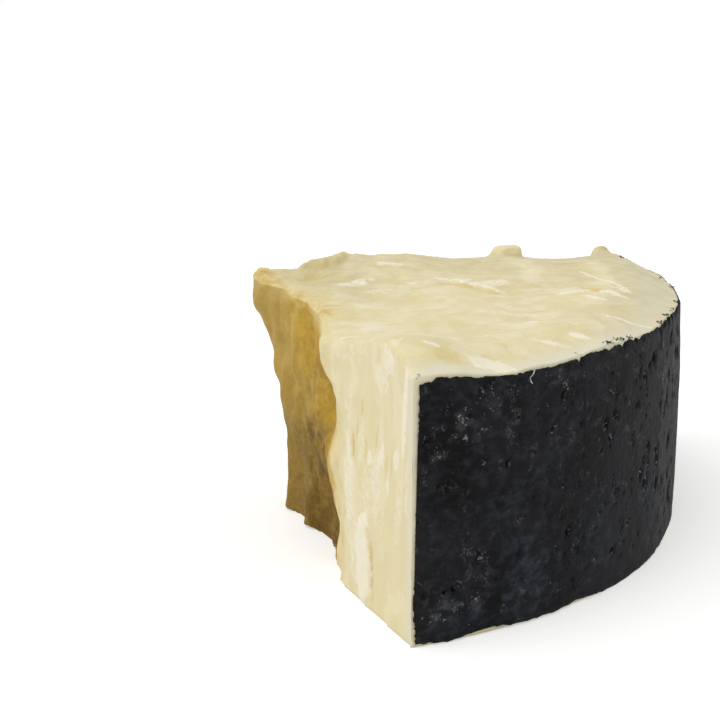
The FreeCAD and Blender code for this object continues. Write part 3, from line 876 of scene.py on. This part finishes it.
@dataclass
class RindCoat(Part):
    """The black coat on the curved wall: a thin shell with pits, smudges and a ragged outline.

    Lines along the wall are given as degrees round the axis and millimetres: hem is how far the coat ends
    over the floor, lip how far under the rim. A tear is degrees, half width in degrees and depth. A smudge is
    degrees, height, half width, half height and strength.
    """

    # the grid's cells, the wall's length and height, and how far from the axis the coat's face, its turned-in
    # borders and the bottom of its deepest pits lie
    pitch: float = 0.5
    length: float = 246.0
    tall: float = 74.0
    top: float = 149.93
    back: float = 148.5
    deepest: float = 148.95
    belly: float = 0.7
    # pits and the smaller pricks; more of the pits lie on the right of a place, as a share of the half wall
    pits: int = 150
    pricks: int = 420
    crowded: float = 0.55
    crowd_from: float = -0.42
    pit_depth: float = 0.9
    frosted: float = 0.4
    seed: int = 7
    # a shallow upright groove near the top
    groove: float = -24.4
    hem: Line = (
        (-47.1, 1.0), (-44.9, 0.9), (-43.0, 0.4), (-41.0, 0.8), (-39.0, 1.5), (-37.0, 1.8), (-34.8, 0.8),
        (-27.6, 0.4), (-24.9, 1.5), (-21.9, 0.8), (-18.5, 0.05), (-10.3, 0.05), (-4.3, 0.3), (4.1, 1.2),
        (14.0, 0.6), (22.0, 1.1), (33.0, 0.4), (41.0, 1.2), (47.1, 0.8))
    lip: Line = (
        (-47.1, 2.0), (-45.1, 1.8), (-44.5, 0.6), (-41.5, 0.9), (-38.0, 0.4), (-34.0, 0.8), (-30.0, 0.9),
        (-26.0, 0.7), (-23.0, 0.2), (-20.0, 1.0), (-17.0, 0.8), (-13.0, 0.0), (0.0, 0.1), (14.0, 0.5),
        (24.0, 0.1), (34.0, 0.7), (42.0, 0.2), (47.1, 1.2))
    tears: tuple[tuple[float, float, float], ...] = (
        (-25.3, 0.35, 1.4), (-19.5, 0.9, 0.8), (-16.8, 0.5, 1.1), (-14.0, 0.4, 0.8), (-6.2, 0.5, 2.0),
        (-4.4, 0.4, 1.2), (-2.6, 0.35, 2.6), (-0.6, 0.3, 1.6), (1.8, 0.35, 2.2), (4.0, 0.3, 1.2),
        (15.0, 0.6, 1.6), (23.5, 0.4, 2.0), (31.0, 0.7, 1.5), (42.0, 0.5, 1.2))
    bloom: Smudges = (
        (-41.7, 61, 4, 4.5, 1), (-39.6, 59, 4, 3, 0.8), (-37.3, 65.7, 2.5, 2.5, 0.7),
        (-35.4, 61.3, 2.5, 2, 0.7), (-44.7, 54, 2, 3, 0.9), (-27.6, 51.4, 3, 5, 0.6),
        (-28.5, 69.5, 5, 2.5, 0.9), (-38, 70.5, 8, 1.6, 0.6), (-45.2, 8, 2.5, 3, 1), (-44, 9, 4, 3, 1),
        (-41.5, 11, 6, 3, 0.9), (-39, 14, 5, 3, 0.7), (-46, 3.5, 2, 2, 1), (-32, 12, 9, 6, 0.35),
        (-5, 60, 4, 9, 0.7), (3, 55, 5, 12, 0.6),
        (-12, 48, 5, 6, 0.4), (-20, 70, 7, 2, 0.5), (16, 58, 8, 6, 0.5), (28, 20, 10, 6, 0.6),
        (38, 50, 6, 8, 0.5), (10, 12, 9, 4, 0.5))
    blue: Smudges = (
        (-34, 24.2, 7, 2.4, 0.9), (-32.5, 11.4, 9, 9, 1), (-42, 6, 7, 4, 0.9), (-36, 36, 8, 6, 0.5),
        (-22, 20, 10, 10, 0.6), (-30, 44, 7, 5, 0.4), (-8, 24, 8, 12, 0.7), (4, 30, 6, 14, 0.6),
        (20, 34, 10, 8, 0.7), (35, 16, 9, 7, 0.6))

    def build(self, paste: Object) -> Object:
        """Makes the coat on the paste's wall.

        Args:
            paste: the finished cheese, whose rim the coat reaches up to.

        Returns:
            The coat, closed behind.
        """
        span = math.radians(2 * self.wheel.half_angle) * self.wheel.radius
        columns, rows = round(span / self.pitch), round(self.tall / self.pitch)
        bm = bmesh.new()
        bmesh.ops.create_grid(bm, x_segments=columns, y_segments=rows, size=1.0)
        mesh = bpy.data.meshes.new("rind_coat")
        bm.to_mesh(mesh)
        share = (read_rows(mesh, "co")[:, :2] + 1) / 2
        turn, height = self._outline(share, self._rim(paste, columns))
        pit, frost = self._pitted(turn, height)
        depth = self._surface(turn, height, share, pit)
        angle = np.radians(turn)
        spots = np.column_stack([np.cos(angle) * depth, np.sin(angle) * depth, height])
        for vert, spot in zip(bm.verts, self.wheel.world(spots).tolist()):
            vert.co = spot
        self._close(bm, columns)
        put_back(bm, mesh)
        self.piece = object_of("rind_coat", mesh)
        self._store(mesh, turn, height, pit, frost)
        mesh.shade_smooth()
        return self.piece

    def dress(self, finish: Material) -> None:
        """Gives the coat its finish and its place in the frame."""
        self.piece.data.materials.append(finish)
        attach(self.piece, BODY)

    def _rim(self, paste: Object, columns: int) -> Array:
        """Measures the paste's rim from above.

        Args:
            paste: the finished cheese.
            columns: how many steps to take along the wall.

        Returns:
            The rim's height at each step, in millimetres, smoothed over its neighbours.
        """
        tree = tree_of(paste.data)
        inside, half = 148.6, self.wheel.half_angle - 0.35
        heights = []
        for step in range(columns + 1):
            turn = math.radians((step / columns * 2 - 1) * half)
            spot = self.wheel.world([inside * math.cos(turn), inside * math.sin(turn), ABOVE])
            hit = tree.ray_cast(Vector(spot), DOWN)[0]
            heights.append(hit.z / MM if hit else heights[-1])
        padded = np.pad(np.array(heights), 2, mode="edge")
        return np.convolve(padded, np.ones(5) / 5, "valid")

    def _outline(self, share: Array, rim: Array) -> tuple[Array, Array]:
        """Places every point of the coat along the wall, with its edges frayed.

        Args:
            share: across and up the coat, 0 to 1, one row each.
            rim: the paste's rim from end to end, in millimetres.

        Returns:
            Degrees round the axis and height in millimetres, one number a row each.
        """
        half = self.wheel.half_angle
        turn = (share[:, 0] * 2 - 1) * half
        none = np.zeros(len(turn))
        line = np.column_stack([turn * 2.6, none, none])
        hem = np.maximum(np.interp(turn, *zip(*self.hem)) + 0.35 * cloud(line, 3.0, 4, 1.0), 0.05)
        nick = cloud(line, 2.2, 4, 2.0)
        torn = ease(6, 14, np.abs(turn + 34)) * 0.7 + 0.3
        crest = np.interp(share[:, 0], np.linspace(0, 1, len(rim)), rim)
        crest = crest + 0.12 * ease(0, 12, turn) - 0.12 - (0.5 + 0.5 * torn) * np.maximum(0, nick + 0.05)
        crest -= np.interp(turn, *zip(*self.lip)) + 0.35 * np.maximum(0, cloud(line, 0.9, 2, 6.0))
        crest -= 1.8 * torn * np.maximum(0, cloud(line, 9.0, 3, 3.0) - 0.22)
        for turn_at, wide, deep in self.tears:
            crest -= deep * ease(1.0, 0.2, np.abs(turn - turn_at) / wide + 0.8 * nick)
        height = hem + share[:, 1] * (crest - hem)
        side = np.column_stack([np.sign(turn) * 40, none, height])
        fray = 0.1 + 1.1 * np.abs(cloud(side, 2.2, 4, 4.0)) + 0.8 * np.maximum(0, cloud(side, 9.0, 2, 8.0))
        fray += 1.35 * ease(5, 78, height) * (turn < 0)
        pull = np.degrees(fray / self.wheel.radius) * ease(half - 2.4, half, np.abs(turn))
        return turn - np.sign(turn) * pull, height

    def _surface(self, turn: Array, height: Array, share: Array, pit: Array) -> Array:
        """Finds how far out the coat lies: bellied, uneven, pitted and rounded off at its borders.

        Args:
            turn: degrees round the axis.
            height: height over the floor, in millimetres.
            share: across and up the coat, 0 to 1.
            pit: how deep in a pit each point is, 0 to 1.

        Returns:
            Distance from the axis in millimetres, one number a row.
        """
        radius, half = self.wheel.radius, self.wheel.half_angle
        arc = np.radians(turn) * radius
        flat = np.column_stack([arc, height, np.zeros(len(arc))])
        belly = np.minimum(self.belly, radius / np.cos(np.radians(turn)) - radius)
        belly *= ease(74, 50, height) * ease(half - 1, half - 14, np.abs(turn))
        belly *= 0.4 + 0.6 * ease(2, 18, height)
        dip = 0.13 * (cloud(flat, 16.0, 3, 5.0) + 0.6) + 0.09 * (cloud(flat, 4.5, 3, 6.0) + 0.6)
        dip += 0.035 * (cloud(flat, 1.4, 2, 7.0) + 0.6)
        dip -= 0.12 * ease(0.8, 0.2, np.abs(arc - np.radians(self.groove) * radius)) * ease(46, 52, height)
        across, rise = (np.minimum(share[:, n], 1 - share[:, n]) for n in (0, 1))
        edge = np.minimum(across * self.length, rise * self.tall)
        depth = self.top + belly - dip - self.pit_depth * pit - 0.3 * ease(1.0, 0.0, edge)
        return np.maximum(depth, self.deepest)

    def _pitted(self, turn: Array, height: Array) -> tuple[Array, Array]:
        """Strews pits and pricks over the coat.

        Args:
            turn: degrees round the axis.
            height: height over the floor, in millimetres.

        Returns:
            How deep each point is in a pit, and how frosted it is beside one, both 0 to 1.
        """
        arc = np.radians(turn) * self.wheel.radius
        dice = np.random.default_rng(self.seed)
        pit, frost = np.zeros(len(arc)), np.zeros(len(arc))
        patchy = cloud(np.column_stack([arc, height, np.zeros(len(arc))]), 2.0, 3, 12.0)
        for number in range(self.pits + self.pricks):
            large = number < self.pits
            place = dice.uniform(-1, 1)
            if large and dice.random() < self.crowded:
                place = dice.uniform(self.crowd_from, 1)
            centre = place * math.radians(self.wheel.half_angle) * self.wheel.radius
            level = dice.uniform(3, 73)
            wide = dice.uniform(0.6, 1.25) * (1 + 0.3 * (place > -0.4)) if large else dice.uniform(0.3, 0.52)
            tall, lean, deep = wide * dice.uniform(0.9, 2.1), dice.uniform(-0.5, 0.5), dice.uniform(0.5, 1.0)
            found = np.flatnonzero((np.abs(arc - centre) < 4) & (np.abs(height - level) < 5))
            gap, rise = arc[found] - centre, height[found] - level
            gap = gap + lean * rise
            well = np.exp(-((gap / wide) ** 2 + (rise / tall) ** 2) ** 1.4) * (deep if large else 0.6 * deep)
            pit[found] = np.maximum(pit[found], well)
            if large and dice.random() < self.frosted:
                ring = np.sqrt((gap / wide) ** 2 + (rise / tall) ** 2)
                rime = np.exp(-((ring - 1.5) / 0.45) ** 2) * ease(-0.1, 0.35, patchy[found])
                frost[found] = np.maximum(frost[found], rime * dice.uniform(0.5, 1))
        return pit, frost

    def _close(self, bm: bmesh.types.BMesh, columns: int) -> None:
        """Turns the coat's top and bottom borders inward and closes it behind.

        Args:
            bm: the grid, in place on the wall.
            columns: how many cells it has along the wall.
        """
        axis = self.wheel.axis_x * MM
        count = len(bm.verts)
        chains = []
        for first in (0, count - columns - 1):
            row = set(range(first, first + columns + 1))
            edges = [e for e in bm.edges if e.is_boundary and all(v.index in row for v in e.verts)]
            grown = bmesh.ops.extrude_edge_only(bm, edges=edges)["geom"]
            for vert in (g for g in grown if isinstance(g, bmesh.types.BMVert)):
                pull = self.back * MM / math.hypot(vert.co.x - axis, vert.co.y)
                vert.co = (axis + (vert.co.x - axis) * pull, vert.co.y * pull, vert.co.z)
            chains += [g for g in grown if isinstance(g, bmesh.types.BMEdge)]
        bmesh.ops.bridge_loops(bm, edges=chains)
        bmesh.ops.holes_fill(bm, edges=[e for e in bm.edges if e.is_boundary], sides=0)
        bmesh.ops.recalc_face_normals(bm, faces=bm.faces)

    def _store(self, mesh: Mesh, turn: Array, height: Array, pit: Array, frost: Array) -> None:
        """Stores the masks that the finish reads; the hidden back gets none.

        Args:
            mesh: the finished coat.
            turn: degrees round the axis, for each point of its face.
            height: height over the floor, in millimetres.
            pit: how deep in a pit, 0 to 1.
            frost: how frosted beside a pit, 0 to 1.
        """
        radius = self.wheel.radius
        arc = np.radians(turn) * radius
        fray = cloud(np.column_stack([arc, height, np.zeros(len(arc))]), 5.0, 4, 9.0)

        def strongest(smudges: Smudges) -> Array:
            """The strongest of the smudges at each point."""
            total = np.zeros(len(arc))
            for turn_at, level, wide, tall, strength in smudges:
                reach = ((arc - math.radians(turn_at) * radius) / wide) ** 2 + ((height - level) / tall) ** 2
                total = np.maximum(total, strength * ease(2.2, 0.2, reach + fray * 1.5))
            return total

        brown = ease(3.5, 0.0, arc + math.radians(self.wheel.half_angle) * radius)
        brown = np.maximum(brown, ease(2.0, 0.0, np.abs(height - 76)) * 0.5)
        masks = {"pit": pit, "bloom": np.maximum(strongest(self.bloom), frost), "blue": strongest(self.blue),
                 "brown": brown}
        for name, values in masks.items():
            write_mask(mesh, name, np.pad(values, (0, len(mesh.vertices) - len(values)), mode="constant"))


@dataclass
class Crumbs(Part):
    """Loose crumbs and torn threads of the coat along the rim.

    A nest is degrees round the axis, how far it spreads in millimetres, and how many lie in it.
    """

    seed: int = 4
    crumb: Window = (0.12, 0.42)
    thread: Window = (0.6, 1.9)
    thickness: Window = (0.07, 0.15)
    nests: tuple[tuple[float, float, int], ...] = (
        (-19.2, 3.0, 34), (-16.8, 3.2, 46), (-14.6, 2.0, 20), (-4.6, 2.5, 26), (-1.5, 2.5, 22),
        (2.5, 3.0, 24), (-25.0, 1.5, 8), (-46.0, 1.0, 3), (9.0, 5.0, 14), (19.0, 4.0, 12), (28.0, 5.0, 14),
        (40.0, 5.0, 12))

    def build(self, paste: Object) -> Object:
        """Scatters crumbs and threads where the coat has torn.

        Args:
            paste: the finished cheese that they lie on.

        Returns:
            All of them as one piece.
        """
        bm, tree = bmesh.new(), tree_of(paste.data)
        dice = np.random.default_rng(self.seed)
        for turn, spread, count in self.nests:
            for _ in range(count):
                angle = math.radians(turn) + dice.normal(0, spread / 2.2) / self.wheel.radius
                out = self.wheel.radius - 0.6 - abs(dice.normal(0, 0.9))
                spot = self.wheel.world([out * math.cos(angle), out * math.sin(angle), ABOVE])
                hit = tree.ray_cast(Vector(spot), DOWN)[0]
                if hit is None:
                    continue
                if dice.random() < 0.5:
                    self._crumb(bm, hit, dice)
                else:
                    self._thread(bm, hit, angle, dice)
        bmesh.ops.recalc_face_normals(bm, faces=bm.faces)
        self.piece = object_of("rim_crumbs", mesh_of("rim_crumbs", bm))
        return self.piece

    def dress(self, finish: Material) -> None:
        """Gives the crumbs their finish and their place in the frame."""
        self.piece.data.materials.append(finish)
        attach(self.piece, BODY)

    def _crumb(self, bm: bmesh.types.BMesh, spot: Vector, dice: np.random.Generator) -> None:
        """Adds one angular crumb, sunk a little into what it lies on.

        Args:
            bm: what the crumb is added to.
            spot: where it lies, in metres.
            dice: draws its size and shape.
        """
        size = dice.uniform(*self.crumb)
        made = bmesh.ops.create_icosphere(bm, subdivisions=1, radius=size * MM)["verts"]
        for vert in made:
            vert.co *= dice.uniform(0.65, 1.25)
            vert.co.z *= 0.7
        bmesh.ops.translate(bm, verts=made, vec=spot + Vector((0, 0, 0.25 * size * MM)))

    def _thread(self, bm: bmesh.types.BMesh, spot: Vector, angle: float, dice: np.random.Generator) -> None:
        """Adds one bent thread, spun from a small ring.

        Args:
            bm: what the thread is added to.
            spot: where it starts, in metres.
            angle: where it is round the axis, in radians.
            dice: draws its size, heading and bend.
        """
        reach, thick = dice.uniform(*self.thread), dice.uniform(*self.thickness)
        verts = bmesh.ops.create_circle(bm, cap_ends=True, radius=thick * MM, segments=5)["verts"]
        turn = Matrix.Rotation(angle + dice.uniform(-1.2, 1.2), 4, "Z") @ Matrix.Rotation(math.pi / 2, 4, "X")
        bmesh.ops.transform(bm, matrix=Matrix.Translation(spot) @ turn, verts=verts)
        lean = Vector((math.cos(angle), math.sin(angle), 0))
        heading = turn.to_3x3() @ Vector((0, 0, 1))
        axis = heading.cross(Vector((0, 0, 1))) * dice.choice([-1.0, 1.0])
        centre = spot + (axis.cross(heading)).normalized() * reach * MM * 0.8
        bmesh.ops.spin(bm, geom=around(verts), cent=centre + lean * 0.1 * MM, axis=axis, dvec=(0, 0, 0),
                       angle=dice.uniform(0.6, 1.4), steps=5, use_duplicate=False)


@dataclass
class Hair(Part):
    """A pale hair-like thread stuck to the rind near its top."""

    turn: float = -32.4
    height: float = 71.6
    out: float = 149.85
    reach: float = 2.4
    thick: float = 0.16
    # the way each of its arcs bends, and how far, in radians
    arcs: Line = ((1.0, 1.25), (-1.0, 0.9))

    def build(self) -> Object:
        """Spins a small ring along two arcs that meet."""
        bm = bmesh.new()
        angle = math.radians(self.turn)
        out = Vector((math.cos(angle), math.sin(angle), 0))
        side = Vector((-out.y, out.x, 0))
        start = Vector(self.wheel.world([out.x * self.out, out.y * self.out, self.height + self.reach]))
        for bend, length in self.arcs:
            ring = bmesh.ops.create_circle(bm, cap_ends=True, radius=self.thick * MM, segments=6)["verts"]
            bmesh.ops.translate(bm, verts=ring, vec=start)
            centre = start - side * bend * self.reach * MM
            turned = bmesh.ops.spin(bm, geom=around(ring), cent=centre, axis=-out * bend, dvec=(0, 0, 0),
                                    angle=length, steps=8, use_duplicate=False)["geom_last"]
            last = [g.co for g in turned if isinstance(g, bmesh.types.BMVert)]
            start = sum(last, Vector()) / len(last)
        bmesh.ops.recalc_face_normals(bm, faces=bm.faces)
        mesh = mesh_of("rind_hair", bm)
        mesh.shade_smooth()
        self.piece = object_of("rind_hair", mesh)
        return self.piece

    def dress(self, finish: Material) -> None:
        """Gives the hair its finish and its place in the frame."""
        self.piece.data.materials.append(finish)
        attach(self.piece, BODY)


@dataclass
class Studio:
    """The pale floor, the soft light and the camera."""

    wheel: Wheel
    floor_reach: float = 6.0
    glow: float = 0.36
    sky: float = 0.76
    key: float = 1.0
    key_turn: float = -120.0
    key_rise: float = 50.0
    key_spread: float = 60.0
    eye: tuple[float, float, float] = (235.1, -501.9, 181.3)
    heading: float = 110.715
    dip: float = 13.636
    lens: float = 81.957

    def build(self) -> None:
        """Makes all of it."""
        scene = bpy.context.scene
        scene.view_settings.view_transform = "Standard"
        self._camera(scene)
        self._sky(scene)
        self._key(scene)
        self._floor()

    def _camera(self, scene: bpy.types.Scene) -> None:
        """The camera, at the height of someone who bends to the cheese."""
        lens = bpy.data.cameras.new("camera")
        lens.lens, lens.sensor_width, lens.clip_end = self.lens, 36.0, 100.0
        made = bpy.data.objects.new("camera", lens)
        made.location = Vector(self.wheel.world(self.eye))
        made.rotation_euler = (math.radians(90 - self.dip), 0, math.radians(self.heading - 90))
        scene.collection.objects.link(made)
        scene.camera = made

    def _seen(self, graph: Graph) -> Socket:
        """1 where the eye, a reflection or a look through glass meets this surface."""
        path = graph.add("LightPath").outputs
        seen = graph.maths("MAXIMUM", path["Is Camera Ray"], path["Is Glossy Ray"])
        return graph.maths("MAXIMUM", seen, path["Is Transmission Ray"])

    def _sky(self, scene: bpy.types.Scene) -> None:
        """Even light from all round, and a white background where it is seen."""
        world = bpy.data.worlds.new("studio")
        world.use_nodes = True
        scene.world = world
        graph = Graph(world.node_tree)
        lit = graph.add("Background", Color=(1, 1, 1, 1), Strength=self.sky).outputs[0]
        white = graph.add("Background", Color=(1, 1, 1, 1), Strength=1.0).outputs[0]
        mixed = graph.add("MixShader", i0=self._seen(graph), i1=lit, i2=white).outputs[0]
        graph.add("OutputWorld", Surface=mixed)

    def _key(self, scene: bpy.types.Scene) -> None:
        """One broad soft lamp from the left of the camera."""
        lamp = bpy.data.lights.new("key", "SUN")
        lamp.energy, lamp.angle = self.key, math.radians(self.key_spread)
        made = bpy.data.objects.new("key", lamp)
        turn, rise = math.radians(self.key_turn), math.radians(self.key_rise)
        source = Vector((math.cos(turn) * math.cos(rise), math.sin(turn) * math.cos(rise), math.sin(rise)))
        made.rotation_euler = source.to_track_quat("Z", "Y").to_euler()
        scene.collection.objects.link(made)

    def _floor(self) -> None:
        """A wide pale floor that keeps the soft shadow."""
        bm = bmesh.new()
        bmesh.ops.create_circle(bm, cap_ends=True, radius=self.floor_reach, segments=96)
        made = object_of("floor", mesh_of("floor", bm))
        finish, graph, _ = material_of("floor")
        body = graph.add("BsdfPrincipled", Base_Color=tint(232, 231, 229), Roughness=0.9)
        body.inputs["Specular IOR Level"].default_value = 0.0
        glow = graph.add("Emission", Color=(1, 1, 1, 1), Strength=graph.times(self._seen(graph), self.glow))
        both = graph.add("AddShader", i0=body.outputs[0], i1=glow.outputs[0])
        graph.add("OutputMaterial", Surface=both.outputs[0])
        made.data.materials.append(finish)


def report(piece: Object) -> None:
    """Logs a piece's name and how many triangles it has."""
    faces = sum(len(p.vertices) - 2 for p in piece.data.polygons)
    LOG.info("%s: %d triangles", piece.name, faces)


def main() -> None:
    """Builds the cheese, its coat and the studio round it."""
    logging.basicConfig(level=logging.INFO, format="%(name)s: %(message)s")
    wheel, effects = Wheel.of_frame(), Effects()
    Studio(wheel).build()
    paste = CheesePaste(wheel)
    report(paste.build())
    paste.dress(PasteFinish().build(effects))
    coat = RindCoat(wheel)
    report(coat.build(paste.piece))
    coat.dress(RindFinish().build(effects))
    crumbs = Crumbs(wheel)
    report(crumbs.build(paste.piece))
    crumbs.dress(FibreFinish("coat_crumb", tint(20, 18, 17), tint(52, 45, 40)).build(effects))
    hair = Hair(wheel)
    report(hair.build())
    hair.dress(FibreFinish("pale_thread", tint(150, 148, 142), tint(205, 202, 192)).build(effects))


if __name__ == "__main__":
    main()
